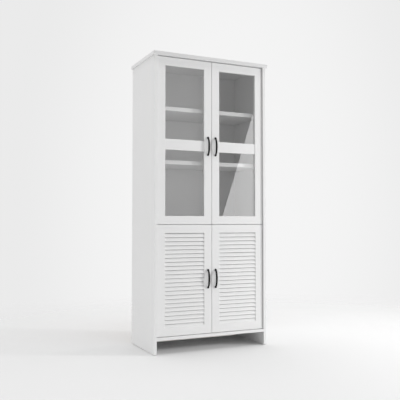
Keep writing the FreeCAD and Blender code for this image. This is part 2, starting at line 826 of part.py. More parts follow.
def upper_door():
    """Pieces of the upper left door."""
    low, high = upper_door_bottom, upper_door_top
    slab = door_slab(low, high)
    openings = pane_openings()
    rebates = [rebate(*opening) for opening in openings]
    cutters = [opening_bevel(low + frame_width, high - frame_width)] + rebates
    rails = (low, low + frame_width), (mid_rail_bottom, mid_rail_top), (high - frame_width, high)
    pockets = [tool for ends in rails for tool in mortises(*ends)]
    hinge_stile, lock_stile = stiles(slab, low, high, cutters + pockets,
                                     upper_hinge_heights(), mid_rail_centre)
    beads = [strip for opening in openings for strip in glass_beads(*opening)]
    return {
        "hinge_stile": hinge_stile,
        "lock_stile": lock_stile,
        "top_rail": rail(slab, high - frame_width, high, cutters),
        "mid_rail": mid_rail(rebates),
        "bottom_rail": rail(slab, low, low + frame_width, cutters),
        "glass_panes": Part.makeCompound([glass_pane(*opening) for opening in openings]),
        "glass_beads": Part.makeCompound(beads),
        **door_hardware(upper_hinge_heights(), mid_rail_centre),
    }


def lower_door():
    """Pieces of the lower left door."""
    low, high = lower_door_bottom, lower_door_top
    slab = door_slab(low, high)
    cutters = [opening_bevel(louvre_bottom, louvre_top)]
    pockets = mortises(low, louvre_bottom) + mortises(louvre_top, high) + slat_pockets()
    hinge_stile, lock_stile = stiles(slab, low, high, cutters + pockets,
                                     lower_hinge_heights(), lower_handle_height)
    return {
        "hinge_stile": hinge_stile,
        "lock_stile": lock_stile,
        "top_rail": rail(slab, louvre_top, high, cutters),
        "bottom_rail": rail(slab, low, louvre_bottom, cutters),
        "louvre_slats": Part.makeCompound(louvre_slats()),
        **door_hardware(lower_hinge_heights(), lower_handle_height),
    }


def carcass():
    """Every fixed piece."""
    left_side = side_panel()
    joints = carcass_joints()
    second_shelf, top_shelf, lower_shelf = shelf_heights()
    pins = [shelf_pin(place) for underside in shelf_heights() for place in shelf_pin_places(underside)]
    hinges = all_hinge_heights()
    plate_screws = [plate_screw(seat) for seat in plate_screw_seats()]
    return {
        "top_panel": top_panel(),
        "side_panel_left": left_side,
        "side_panel_right": mirrored(left_side),
        "bottom_panel": level_panel(front_y, toe_height, joints[0]),
        "middle_panel": level_panel(shelf_front_y, middle_underside, joints[1]),
        "back_panel_upper": back_panel(split_height, top_underside + groove_depth - back_edge_gap),
        "back_panel_lower": back_panel(back_foot_gap, split_height),
        "top_shelf": shelf(top_shelf),
        "second_shelf": shelf(second_shelf),
        "lower_shelf": shelf(lower_shelf),
        "shelf_pins": Part.makeCompound(both_sides(pins)),
        "cam_locks": Part.makeCompound(both_sides([cam for joint in joints for cam in joint.cams])),
        "cam_bolts": Part.makeCompound(both_sides([bolt for joint in joints for bolt in joint.bolts])),
        "wood_dowels": Part.makeCompound(both_sides([dowel for joint in joints for dowel in joint.dowels])),
        "back_panel_screws": Part.makeCompound(back_screws()),
        "floor_glides": Part.makeCompound(both_sides([floor_glide(place) for place in glide_places()])),
        "hinge_arms": Part.makeCompound(both_sides([hinge_arm(z) for z in hinges])),
        "hinge_plates": Part.makeCompound(both_sides([hinge_plate(z) for z in hinges])),
        "hinge_plate_screws": Part.makeCompound(both_sides(plate_screws)),
    }


def all_pieces():
    """Every node of the cabinet by name; the right-hand doors mirror the left-hand ones."""
    pieces = carcass()
    for level, door in (("upper", upper_door()), ("lower", lower_door())):
        for name, shape in door.items():
            pieces[f"{level}_left_{name}"] = shape
            pieces[f"{level}_right_{name}"] = mirrored(shape)
    return pieces


def main():
    os.makedirs("parts", exist_ok=True)
    pieces = all_pieces()
    for name, shape in pieces.items():
        shape.exportStep(os.path.join("parts", name + ".step"))
    print(len(pieces), "nodes,", sum(len(shape.Solids) for shape in pieces.values()), "solids")


if __name__ == "__main__":
    main()
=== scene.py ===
# %% [markdown]
# # A white display cabinet, dressed for its portrait
# The cabinet arrives as a frame: every board, slat, pane and screw is already at its real size and place.
# This lesson gives each of them a finish, adds the small hardware that only shows from close by, and sets
# up the floor, the light and the camera. Nothing here moves or resizes a board.

# %% Load the frame
import json
import math

import bmesh
import bpy
from mathutils import Matrix, Vector


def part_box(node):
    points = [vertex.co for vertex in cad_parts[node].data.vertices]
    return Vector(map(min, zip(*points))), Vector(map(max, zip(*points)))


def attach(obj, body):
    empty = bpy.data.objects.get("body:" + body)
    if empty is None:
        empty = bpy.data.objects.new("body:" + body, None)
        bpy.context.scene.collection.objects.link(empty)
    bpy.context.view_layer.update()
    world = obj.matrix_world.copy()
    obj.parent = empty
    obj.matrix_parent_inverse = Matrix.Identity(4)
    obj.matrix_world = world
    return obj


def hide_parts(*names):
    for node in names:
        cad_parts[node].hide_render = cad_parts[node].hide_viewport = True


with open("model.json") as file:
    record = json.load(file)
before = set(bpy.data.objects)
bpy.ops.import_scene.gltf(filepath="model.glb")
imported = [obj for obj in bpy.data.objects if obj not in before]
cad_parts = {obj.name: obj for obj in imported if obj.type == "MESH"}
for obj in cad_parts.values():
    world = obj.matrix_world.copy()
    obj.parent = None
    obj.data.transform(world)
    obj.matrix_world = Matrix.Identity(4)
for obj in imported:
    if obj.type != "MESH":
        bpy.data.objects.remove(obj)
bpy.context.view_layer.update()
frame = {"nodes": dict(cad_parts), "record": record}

nodes = frame["nodes"]

# %% [markdown]
# ## The camera
# The cabinet is seen from its left, a little below the middle of its height, through a short telephoto
# lens. A camera can be set by eye, but then the lens and the distance are easily both wrong. Here they
# were worked out together from the cabinet's upright and level edges, so a change of one needs a change
# of the other. Depth of field stays off, as in a catalogue picture.

# %% Place the camera
SENSOR_WIDTH = 36.0             # millimetres
LENS = 54.26                    # millimetres
CAMERA_PLACE = (-1.7289, -3.6825, 0.8116)
CAMERA_TILT = 92.17             # degrees up from looking straight down
CAMERA_TURN = -25.24            # degrees from looking along +Y, to the right

camera_data = bpy.data.cameras.new("camera")
camera_data.sensor_width = SENSOR_WIDTH
camera_data.lens = LENS
camera = bpy.data.objects.new("camera", camera_data)
camera.location = CAMERA_PLACE
camera.rotation_euler = (math.radians(CAMERA_TILT), 0, math.radians(CAMERA_TURN))
bpy.context.scene.collection.objects.link(camera)
bpy.context.scene.camera = camera
print("The camera stands", round(math.hypot(*CAMERA_PLACE[:2]), 2), "m away")

# %% [markdown]
# ## Shader maths that reads like maths
# A material is a graph of nodes, and graphs are hard to read as code. So one small class stands for the
# output of a node. Adding or multiplying two of them adds a Math node, and `make` adds any other node:
# first its settings, then the values or links of its sockets.

# %% A socket that can be added and multiplied


class Wire:
    """The output of a node, with arithmetic."""

    def __init__(self, socket):
        self.socket = socket

    @staticmethod
    def make(tree, kind, settings=None, inputs=None, output=0):
        """Add one node and return the wire of one of its outputs."""
        node = tree.nodes.new(kind)
        for name, value in (settings or {}).items():
            setattr(node, name, value)
        for name, value in (inputs or {}).items():
            if isinstance(value, Wire):
                tree.links.new(value.socket, node.inputs[name])
            else:
                node.inputs[name].default_value = value
        return Wire(node.outputs[output]) if node.outputs else None

    def math(self, operation, first, second):
        """Add a Math node to the tree that this wire is in."""
        settings = {"operation": operation}
        return Wire.make(self.socket.id_data, "ShaderNodeMath", settings, {0: first, 1: second})

    def __add__(self, other):
        return self.math("ADD", self, other)

    def __sub__(self, other):
        return self.math("SUBTRACT", self, other)

    def __rsub__(self, other):
        return self.math("SUBTRACT", other, self)

    def __mul__(self, other):
        return self.math("MULTIPLY", self, other)

    def __pow__(self, other):
        return self.math("POWER", self, other)

    def __gt__(self, other):
        return self.math("GREATER_THAN", self, other)

    __radd__ = __add__
    __rmul__ = __mul__


print("A Wire takes a number on its left in", [name for name in vars(Wire) if name.startswith("__r")])

# %% [markdown]
# ## Parts of a finish
# Every finish starts from an empty material and ends at its output. Between the two, most of them need
# the same few things: a place on the cabinet, some noise, a blend of two colours, a soft step and a
# relief. Each is a node or two, so it becomes a short function. Noise reads the place in metres, and a
# place that is stretched unevenly turns round blotches into long streaks.

# %% Helpers that the finishes share


def new_finish(name):
    """An empty material and its node tree."""
    material = bpy.data.materials.new(name)
    material.use_nodes = True
    material.node_tree.nodes.clear()
    return material, material.node_tree


def show(tree, surface):
    """Send a shader to the material's output."""
    Wire.make(tree, "ShaderNodeOutputMaterial", inputs={"Surface": surface})
    print("A finish of", len(tree.nodes), "nodes")


def place_on_piece(tree, stretch=(1, 1, 1)):
    """Coordinates in metres on the cabinet, stretched where a pattern runs along a board."""
    place = Wire.make(tree, "ShaderNodeTexCoord", output="Object")
    return Wire.make(tree, "ShaderNodeMapping", {}, {"Vector": place, "Scale": stretch})


def noise(tree, place, scale, detail=2.0):
    """Soft random values from 0 to 1, about scale bumps to a metre."""
    inputs = {"Vector": place, "Scale": scale, "Detail": detail}
    return Wire.make(tree, "ShaderNodeTexNoise", {}, inputs, "Fac")


def blend(tree, share, low_colour, high_colour):
    """Mix two colours."""
    return Wire.make(tree, "ShaderNodeMix", {"data_type": "RGBA"},
                     {"Factor": share, 6: low_colour, 7: high_colour}, 2)


def between(ends, share):
    """Mix two numbers."""
    low, high = ends
    return low + (high - low) * share


def smooth_step(tree, value, low, high):
    """0 below low, 1 above high, and a soft slope between."""
    return Wire.make(tree, "ShaderNodeMapRange", {"interpolation_type": "SMOOTHSTEP"},
                     {"Value": value, "From Min": low, "From Max": high})


def bump(tree, height, depth):
    """Turn a height from 0 to 1 into a relief of this depth in metres."""
    inputs = {"Strength": 1.0, "Distance": depth, "Height": height}
    return Wire.make(tree, "ShaderNodeBump", {}, inputs, "Normal")


# %% [markdown]
# ## White lacquer
# The boards are sprayed white and rubbed to a satin sheen. Close by, such a coat has a fine orange peel,
# and the grain of the wood under it still telegraphs through as faint lines along each board. Lines could
# be drawn as darker colour, but a coat this thick hides colour and not shape. So both are relief and go
# into the bump. The colour drifts by a hair from place to place, as any large white surface does.

# %% White lacquer, along upright or level boards
ALONG_Z = (220, 220, 5)         # stretch that makes streaks along a stile
ALONG_X = (5, 220, 220)         # stretch that makes streaks along a rail
WHITE_TONES = (0.855, 0.855, 0.855, 1), (0.885, 0.885, 0.882, 1)
DRIFT_SCALE = 2.2               # clouds of tone to a metre
PEEL_SCALE = 420.0              # dimples of the orange peel to a metre
PEEL_SHARE = 0.6                # of the relief, and the grain has the rest
LACQUER_ROUGHNESS = (0.36, 0.48)
LACQUER_RELIEF = 0.00012        # metres


def white_lacquer(name, along):
    """Satin white paint, with the grain along the board."""
    material, tree = new_finish(name)
    place = place_on_piece(tree)
    drift = noise(tree, place, DRIFT_SCALE)
    peel = noise(tree, place, PEEL_SCALE)
    grain = noise(tree, place_on_piece(tree, along), scale=1.0, detail=4.0)
    coat = Wire.make(tree, "ShaderNodeBsdfPrincipled", {}, {
        "Base Color": blend(tree, drift, *WHITE_TONES),
        "Roughness": between(LACQUER_ROUGHNESS, peel),
        "Normal": bump(tree, PEEL_SHARE * peel + (1 - PEEL_SHARE) * grain, LACQUER_RELIEF),
    })
    show(tree, coat)
    return material


upright_lacquer = white_lacquer("white_lacquer_upright", ALONG_Z)
level_lacquer = white_lacquer("white_lacquer_level", ALONG_X)

# %% [markdown]
# ## Clear glass
# A pane of a few millimetres hardly bends what is seen through it, so a bent-light shader would cost
# noise and give nothing back. Here each face lets light straight through and mirrors a small share of it:
# about one part in twelve when seen square on, and nearly all when seen edge on.

# %% Clear glass
SQUARE_ON = 0.085               # share mirrored by one face of glass, seen square on
EDGE_ON_POWER = 5               # how late the share rises as the pane turns edge on
GLASS_TINT = (0.985, 0.985, 0.985, 1)
MIRROR_TINT = (1, 1, 1, 1)


def clear_glass(name):
    """Glass that lets light through and mirrors more of it towards its edges."""
    material, tree = new_finish(name)
    facing = Wire.make(tree, "ShaderNodeLayerWeight", {}, {"Blend": 0.5}, "Facing")
    mirrored = SQUARE_ON + (1 - SQUARE_ON) * facing ** EDGE_ON_POWER
    through = Wire.make(tree, "ShaderNodeBsdfTransparent", {}, {"Color": GLASS_TINT})
    mirror = Wire.make(tree, "ShaderNodeBsdfGlossy", {}, {"Color": MIRROR_TINT, "Roughness": 0.0})
    show(tree, Wire.make(tree, "ShaderNodeMixShader", {}, {0: mirrored, 1: through, 2: mirror}))
    return material


glass = clear_glass("clear_glass")

# %% [markdown]
# ## Black iron
# The bow handles are cast and painted a flat black. A plain dark colour would look like plastic, because
# cast paint has a fine grit, which breaks up any mirror image and leaves a dull grey line along the bow.
# So the sheen is wide and weak, the grit is relief, and where hands have polished the paint it is a
# little smoother.

# %% Black iron
IRON_TONES = (0.005, 0.005, 0.0055, 1), (0.012, 0.012, 0.0125, 1)
GRIT_SCALE = 900.0              # grains to a metre
WEAR_SCALE = 60.0               # polished spots to a metre
WEAR_STEP = (0.55, 0.8)         # where in the noise a spot begins and is full
WEAR_POLISH = 0.08              # roughness that a polished spot loses
IRON_ROUGHNESS = (0.5, 0.64)
IRON_SPECULAR = 0.14
IRON_RELIEF = 0.0002            # metres


def black_iron(name):
    """Flat black paint on cast iron."""
    material, tree = new_finish(name)
    place = place_on_piece(tree)
    grit = noise(tree, place, GRIT_SCALE, detail=3.0)
    worn = smooth_step(tree, noise(tree, place, WEAR_SCALE), *WEAR_STEP)
    paint = Wire.make(tree, "ShaderNodeBsdfPrincipled", {}, {
        "Base Color": blend(tree, grit, *IRON_TONES),
        "Specular IOR Level": IRON_SPECULAR,
        "Roughness": between(IRON_ROUGHNESS, grit) - WEAR_POLISH * worn,
        "Normal": bump(tree, grit, IRON_RELIEF),
    })
    show(tree, paint)
    return material


handle_iron = black_iron("black_iron")

# %% [markdown]
# ## Plated steel
# Hinges, screws, pins and cam locks are pressed or turned steel with a thin bright plating. An even metal
# shader would look like chrome. Real plating has duller clouds, and the rolled sheet under it leaves fine
# lines along its length. Both change only how sharp the reflections are, so they go into the roughness
# and hardly into the colour.

# %% Plated steel
ROLLED = (900, 60, 900)         # stretch that makes lines along the cabinet's depth
STEEL_TONES = (0.53, 0.53, 0.52, 1), (0.66, 0.65, 0.63, 1)
CLOUD_SCALE = 260.0             # clouds to a metre
STEEL_ROUGHNESS = (0.2, 0.36)
LINE_ROUGHNESS = 0.08           # more of it in the rolled lines
STEEL_RELIEF = 0.00003          # metres


def plated_steel(name):
    """Bright plating on rolled steel."""
    material, tree = new_finish(name)
    cloud = noise(tree, place_on_piece(tree), CLOUD_SCALE, detail=3.0)
    lines = noise(tree, place_on_piece(tree, ROLLED), scale=1.0)
    metal = Wire.make(tree, "ShaderNodeBsdfPrincipled", {}, {
        "Base Color": blend(tree, cloud, *STEEL_TONES),
        "Metallic": 1.0,
        "Roughness": between(STEEL_ROUGHNESS, cloud) + LINE_ROUGHNESS * lines,
        "Normal": bump(tree, lines, STEEL_RELIEF),
    })
    show(tree, metal)
    return material


steel = plated_steel("plated_steel")

# %% [markdown]
# ## Back board
# The backs are thin hardboard: white on the face that shows inside, and raw brown fibre on the face to
# the wall. Two materials would need the faces of each board sorted. One material does both: it compares a
# point's Y with the middle of the board's thickness, and picks the coat in front of it and the fibre
# behind it.

# %% Back board
RAW_TONES = (0.16, 0.088, 0.045, 1), (0.40, 0.25, 0.14, 1)
FIBRE_SCALE = 520.0             # fibres to a metre
PATCH_SCALE = 9.0               # paler and darker patches to a metre
FIBRE_SHARE = 0.75              # of the brown's variation, and the patches have the rest
COAT_ROUGHNESS = (0.38, 0.5)
RAW_ROUGHNESS = (0.3, 0.45)     # added on the raw face
COAT_SHARE = 0.4                # of the relief, on both faces
BOARD_RELIEF = 0.00025          # metres

board_low, board_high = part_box("back_panel_upper")
board_middle = (board_low[1] + board_high[1]) / 2


def back_board(name):
    """Hardboard, white in front and raw behind."""
    material, tree = new_finish(name)
    place = place_on_piece(tree)
    depth = Wire.make(tree, "ShaderNodeSeparateXYZ", {}, {"Vector": place}, "Y")
    rear = depth > board_middle
    peel = noise(tree, place, PEEL_SCALE)
    fibre = noise(tree, place, FIBRE_SCALE, detail=6.0)
    patch = noise(tree, place, PATCH_SCALE, detail=3.0)
    raw = blend(tree, FIBRE_SHARE * fibre + (1 - FIBRE_SHARE) * patch, *RAW_TONES)
    coat = blend(tree, noise(tree, place, DRIFT_SCALE), *WHITE_TONES)
    board = Wire.make(tree, "ShaderNodeBsdfPrincipled", {}, {
        "Base Color": blend(tree, rear, coat, raw),
        "Roughness": between(COAT_ROUGHNESS, peel) + rear * between(RAW_ROUGHNESS, fibre),
        "Normal": bump(tree, COAT_SHARE * peel + rear * fibre, BOARD_RELIEF),
    })
    show(tree, board)
    return material


hardboard = back_board("back_board")
print("The backs turn from white to brown at Y =", round(board_middle, 4), "m")

# %% [markdown]
# ## Beech
# The dowels that line up the boards are beech, pale and straight-grained with short dark flecks. A
# picture of wood would need an image file. Two noises stretched along the dowels do it without one: a
# soft one for the grain, and a finer one with its peaks cut out for the flecks.

# %% Beech
GRAIN_STRETCH = (40, 700, 700)  # makes long streaks along X
FLECK_STRETCH = (250, 1500, 1500)  # makes short ones
FLECK_STEP = (0.58, 0.7)        # where in the noise a fleck begins and is full
FLECK_SHARE = 0.6
BEECH_TONES = (0.52, 0.33, 0.18, 1), (0.68, 0.48, 0.29, 1)
FLECK_TONE = (0.33, 0.18, 0.09, 1)
BEECH_ROUGHNESS = (0.55, 0.7)
BEECH_RELIEF = 0.0001           # metres


def beech(name):
    """Pale wood with dark flecks."""
    material, tree = new_finish(name)
    grain = noise(tree, place_on_piece(tree, GRAIN_STRETCH), scale=1.0, detail=4.0)
    peaks = noise(tree, place_on_piece(tree, FLECK_STRETCH), scale=1.0)
    fleck = smooth_step(tree, peaks, *FLECK_STEP)
    wood = Wire.make(tree, "ShaderNodeBsdfPrincipled", {}, {
        "Base Color": blend(tree, FLECK_SHARE * fleck, blend(tree, grain, *BEECH_TONES), FLECK_TONE),
        "Roughness": between(BEECH_ROUGHNESS, grain),
        "Normal": bump(tree, grain, BEECH_RELIEF),
    })
    show(tree, wood)
    return material


dowel_beech = beech("beech")

# %% [markdown]
# ## Glide plastic
# The floor glides are moulded in a pale plastic. A smooth shader would shine too much: a sandblasted
# mould leaves a faint, fine grain all over. One noise gives its tone, its roughness and its relief
# together, so the three agree.

# %% Glide plastic
PLASTIC_TONES = (0.60, 0.60, 0.58, 1), (0.68, 0.68, 0.66, 1)
MOULD_SCALE = 1400.0            # grains to a metre
PLASTIC_ROUGHNESS = (0.45, 0.65)
PLASTIC_RELIEF = 0.0001         # metres


def glide_plastic(name):
    """Pale plastic from a sandblasted mould."""
    material, tree = new_finish(name)
    mould = noise(tree, place_on_piece(tree), MOULD_SCALE)
    plastic = Wire.make(tree, "ShaderNodeBsdfPrincipled", {}, {
        "Base Color": blend(tree, mould, *PLASTIC_TONES),
        "Roughness": between(PLASTIC_ROUGHNESS, mould),
        "Normal": bump(tree, mould, PLASTIC_RELIEF),
    })
    show(tree, plastic)
    return material


foot_plastic = glide_plastic("glide_plastic")

# %% [markdown]
# ## Dress every node
# The record says which finish each node takes, so a loop can dress them all, and nothing has to be listed
# by hand. Only the white boards need a choice: a rail, shelf or slat has its grain across the cabinet,
# and a stile or side has it upright.

# %% Dress every node
FINISH_OF_SLOT = {
    "white_lacquer": upright_lacquer,
    "back_board": hardboard,
    "clear_glass": glass,
    "black_iron": handle_iron,
    "plated_steel": steel,
    "beech": dowel_beech,
    "glide_plastic": foot_plastic,
}
LEVEL_WORDS = ("rail", "shelf", "slats", "top_panel", "bottom_panel", "middle_panel")
slot_of_node = {part["node"]: part["material_slot"] for part in frame["record"]["subparts"]}
for name, node in nodes.items():
    finish = FINISH_OF_SLOT[slot_of_node[name]]
    if finish is upright_lacquer and any(word in name for word in LEVEL_WORDS):
        finish = level_lacquer
    node.data.materials.clear()
    node.data.materials.append(finish)
print("Dressed", len(nodes), "nodes")

# %% [markdown]
# ## A cross-recess screw
# With the doors open, screw heads show on the hinges, behind the handles and on the back. The frame has
# plain round heads there. A real pan head has a rounded edge and a cross sunk into it for the driver. A
# boolean could cut the cross, but it leaves thin slivers. Instead, the round part is a profile spun about
# its axis, left open at the top. The cross starts as a loop of twelve corners, three for each quarter
# turn. A fill closes the flat ring between it and the rim, and an extrusion sinks it with sloping walls.

# %% A cross-recess screw
SCREW_SIDES = 24
TIP_RADIUS = 0.5                # of the shank's radius
HEAD_WALL = 0.4                 # height of the head's upright wall, as a share of the head's height
HEAD_SHOULDER = (0.93, 0.78)    # half-way round its edge, as shares of the head's radius and height
HEAD_FLAT = 0.75                # radius of the flat top, as a share of the head's radius
CROSS_REACH = 0.55              # from the middle to the end of an arm, in the same way
CROSS_WIDTH = 0.13              # half of an arm's width, in the same way
CROSS_TAPER = 0.7               # size at the bottom of the cross
CROSS_DEPTH = 0.75              # as a share of the head's height
SEAM = 1e-7                     # metres, points nearer than this become one


def spun_screw(shape, radius, height, shank_radius, shank_length):
    """Spin shank and head about Z, and return the edges of the open rim on top."""
    profile = [
        (0, -shank_length), (TIP_RADIUS * shank_radius, -shank_length),
        (shank_radius, shank_radius - shank_length), (shank_radius, 0),
        (radius, 0), (radius, HEAD_WALL * height),
        (HEAD_SHOULDER[0] * radius, HEAD_SHOULDER[1] * height), (HEAD_FLAT * radius, height),
    ]
    corners = [shape.verts.new((x, 0, z)) for x, z in profile]
    edges = [shape.edges.new(pair) for pair in zip(corners, corners[1:])]
    bmesh.ops.spin(shape, geom=corners + edges, cent=(0, 0, 0), axis=(0, 0, 1), angle=math.tau,
                   steps=SCREW_SIDES, use_merge=True)
    bmesh.ops.remove_doubles(shape, verts=shape.verts, dist=SEAM)
    return [edge for edge in shape.edges if edge.is_boundary]


def only(kind, items):
    """The vertices, edges or faces among what an operator made."""
    return [item for item in items if isinstance(item, kind)]


def sink_cross(shape, rim, radius, height):
    """Close the rim with a sunken cross."""
    reach, half = CROSS_REACH * radius, CROSS_WIDTH * radius
    turns = [Matrix.Rotation(quarter * math.tau / 4, 3, "Z") for quarter in range(4)]
    corners = [shape.verts.new(turn @ Vector((x, y, height)))
               for turn in turns for x, y in ((reach, -half), (reach, half), (half, half))]
    mouth = [shape.edges.new(pair) for pair in zip(corners, corners[1:] + corners[:1])]
    bmesh.ops.triangle_fill(shape, use_beauty=True, edges=rim + mouth, normal=(0, 0, 1))
    sunk = bmesh.ops.extrude_edge_only(shape, edges=mouth)["geom"]
    low = only(bmesh.types.BMVert, sunk)
    bmesh.ops.scale(shape, vec=(CROSS_TAPER, CROSS_TAPER, 1), verts=low)
    bmesh.ops.translate(shape, vec=(0, 0, -CROSS_DEPTH * height), verts=low)
    bmesh.ops.edgeloop_fill(shape, edges=only(bmesh.types.BMEdge, sunk))
    bmesh.ops.recalc_face_normals(shape, faces=shape.faces)


# %% [markdown]
# ## Where the screws are
# The places of the screws could be typed in, but then they would be wrong as soon as a board moved. The
# frame's own meshes say where each screw sits. A copy of a node is merged, because its triangles are
# loose, and then split into its separate solids. Each solid's box gives the head's place and size.

# %% Find the separate solids of a node
SAME_POINT = 1e-6               # metres, loose corners nearer than this are one
ROW_DIGITS = 4                  # places are sorted to a tenth of a millimetre


def box_of(points):
    """Lowest and highest corner of some points."""
    return [Vector(pick(point[axis] for point in points) for axis in range(3)) for pick in (min, max)]


def place_in_row(points):
    """Height, then side, then depth of a solid, so that the order is always the same."""
    low = box_of(points)[0]
    return tuple(round(place, ROW_DIGITS) for place in (low.z, low.x, low.y))


def solids_of(name):
    """The points of each separate solid in a node."""
    shape = bmesh.new()
    shape.from_mesh(nodes[name].data)
    bmesh.ops.remove_doubles(shape, verts=shape.verts, dist=SAME_POINT)
    unseen = set(shape.verts)
    found = []
    while unseen:
        reached = [unseen.pop()]
        for vert in reached:
            near = {edge.other_vert(vert) for edge in vert.link_edges} & unseen
            unseen -= near
            reached.extend(near)
        found.append([vert.co.copy() for vert in reached])
    shape.free()
    print(name, "has", len(found), "solids")
    return sorted(found, key=place_in_row)


# %% [markdown]
# ## Rows of small pieces
# Screws of one kind make up one piece, as they do in the frame. They could be linked copies, but a
# finished piece keeps its places in its mesh and its object at the origin. So each one is modelled
# upright at the origin, turned to face its own way, moved to its seat and added to the batch.

# %% Set rows of small pieces
TURN_STEP = 0.65                # radians that each cross is turned on from the one before
CREASE = math.radians(30)       # edges sharper than this stay sharp


def add_copy(batch, make_one, place):
    """Model one small piece, move it to its place and add it to the batch."""
    shape = bmesh.new()
    make_one(shape)
    bmesh.ops.transform(shape, matrix=place, verts=shape.verts)
    loose = bpy.data.meshes.new("one_of_a_row")
    shape.to_mesh(loose)
    shape.free()
    batch.from_mesh(loose)
    bpy.data.meshes.remove(loose)


def set_row(name, body, seats, make_one, finish):
    """One piece with a copy on each seat, which is a point and the way that the copy faces."""
    batch = bmesh.new()
    for count, (seat, way) in enumerate(seats):
        facing = way.to_track_quat("Z", "Y").to_matrix().to_4x4()
        turn = Matrix.Rotation(count * TURN_STEP, 4, "Z")
        add_copy(batch, make_one, Matrix.Translation(seat) @ facing @ turn)
    mesh = bpy.data.meshes.new(name)
    batch.to_mesh(mesh)
    batch.free()
    mesh.shade_smooth()
    mesh.set_sharp_from_angle(angle=CREASE)
    mesh.materials.append(finish)
    piece = bpy.data.objects.new(name, mesh)
    bpy.context.scene.collection.objects.link(piece)
    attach(piece, body)
    print(name, "has", len(seats), "copies and", len(mesh.polygons), "faces")
    return piece


# %% [markdown]
# ## New screws for old
# Three kinds of screw take the place of the frame's plain ones: those that hold the hinge plates to the
# sides, those that hold the backs, and those that hold each handle from behind its door. One size for all
# would be simpler, but a head that is too large would stick out of its seat. So each kind has its own four
# sizes, in metres. The end of a plain screw's box, less the height of the head, is where the new one sits.

# %% Replace the frame's plain screws
REARWARD = Vector((0, 1, 0))
INWARD = Vector((1, 0, 0))      # for the left side, and turned round for the right
PLATE_SCREW = {"radius": 0.004, "height": 0.0016, "shank_radius": 0.0025, "shank_length": 0.0126}
BACK_SCREW = {"radius": 0.0035, "height": 0.002, "shank_radius": 0.00175, "shank_length": 0.015}
HANDLE_SCREW = {"radius": 0.004, "height": 0.0025, "shank_radius": 0.002, "shank_length": 0.026}


def set_screws(name, body, seats, sizes):
    """One piece of screws of these sizes, which stand on these seats."""
    def one_screw(shape):
        rim = spun_screw(shape, **sizes)
        sink_cross(shape, rim, sizes["radius"], sizes["height"])

    return set_row(name, body, seats, one_screw, steel)


def plain_seats(name, way, sizes):
    """Seats of a node's screws, whose heads face the way given, or its mirror image on the right."""
    seats = []
    for points in solids_of(name):
        low, high = box_of(points)
        facing = -way if way.x and low.x > 0 else way
        half_length = abs((high - low).dot(facing)) / 2
        seats.append(((low + high) / 2 + facing * (half_length - sizes["height"]), facing))
    return seats


plate_seats = plain_seats("hinge_plate_screws", INWARD, PLATE_SCREW)
plate_screws = set_screws("hinge_plate_cross_screws", "carcass", plate_seats, PLATE_SCREW)
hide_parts("hinge_plate_screws")
back_seats = plain_seats("back_panel_screws", REARWARD, BACK_SCREW)
back_screws = set_screws("back_panel_cross_screws", "carcass", back_seats, BACK_SCREW)
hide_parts("back_panel_screws")
for door in ("upper_left", "upper_right", "lower_left", "lower_right"):
    handle_seats = plain_seats(door + "_handle_screws", REARWARD, HANDLE_SCREW)
    handle_screws = set_screws(door + "_handle_cross_screws", door + "_door", handle_seats, HANDLE_SCREW)
    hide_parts(door + "_handle_screws")

# %% [markdown]
# ## Adjusting screws on the hinges
# Each hinge arm carries two small screws on the face that looks into the cabinet: one moves the door
# sideways and one in and out. They stand on the flat leg of the arm. The box of the whole arm wouldn't
# tell where its face is, because the arm is cranked. So the leg is found by its points that reach
# furthest back.

# %% Adjusting screws
ADJUSTER_STEPS = (0.009, 0.033)  # from the rear end of the arm, forwards
REAR_END = 0.0005               # points this near to the rear belong to the leg's end
ADJUSTER = {"radius": 0.003, "height": 0.0012, "shank_radius": 0.0015, "shank_length": 0.0025}

adjuster_seats = []
for points in solids_of("hinge_arms"):
    rear = box_of(points)[1].y
    leg_low, leg_high = box_of([point for point in points if point.y > rear - REAR_END])
    on_left = leg_low.x < 0
    face_x = leg_high.x if on_left else leg_low.x
    middle_z = (leg_low.z + leg_high.z) / 2
    for step in ADJUSTER_STEPS:
        adjuster_seats.append((Vector((face_x, rear - step, middle_z)), INWARD if on_left else -INWARD))
set_screws("hinge_adjusting_screws", "carcass", adjuster_seats, ADJUSTER)

# %% [markdown]
# ## Caps on the cam locks
# Round cam locks in the upper ends of the sides draw the top down tight. Left bare, they show behind the
# glass as dark dots. Such cabinets come with thin white caps to stick over them. A cap is a flat disc
# with its outer edge rounded, so a short cylinder with one bevelled rim makes it, and a spun profile
# isn't needed. The locks under the level boards face down and stay bare, because nobody sees them.

# %% Cap the upper cam locks
CAP_RADIUS = 0.0085             # a millimetre wider than the lock
CAP_HEIGHT = 0.0006
CAP_ROUNDING = 0.0004
CAP_SIDES = 48


def thin_cap(shape):
    """A disc that stands on the origin, with its upper rim rounded."""
    bmesh.ops.create_cone(shape, cap_ends=True, segments=CAP_SIDES, radius1=CAP_RADIUS,
                          radius2=CAP_RADIUS, depth=CAP_HEIGHT,
                          matrix=Matrix.Translation((0, 0, CAP_HEIGHT / 2)))
    rim = [edge for edge in shape.edges if all(vert.co.z > CAP_HEIGHT / 2 for vert in edge.verts)]
    bmesh.ops.bevel(shape, geom=rim, offset=CAP_ROUNDING, affect="EDGES", segments=3, profile=0.5,
                    material=-1)


cap_seats = []
for points in solids_of("cam_locks"):
    low, high = box_of(points)
    size = high - low
    if size.x < size.z:
        on_left = low.x < 0
        mouth = (low + high) / 2
        mouth.x = high.x if on_left else low.x
        cap_seats.append((mouth, INWARD if on_left else -INWARD))
set_row("upper_cam_caps", "carcass", cap_seats, thin_cap, upright_lacquer)

# %% [markdown]
# ## Floor
# The cabinet stands on a pale paper floor. A real studio sweeps the paper up into a curve behind the
# object. Here the floor is a wide disc that turns see-through with distance instead, so it melts into the
# surround and no line shows where it ends, from any side.

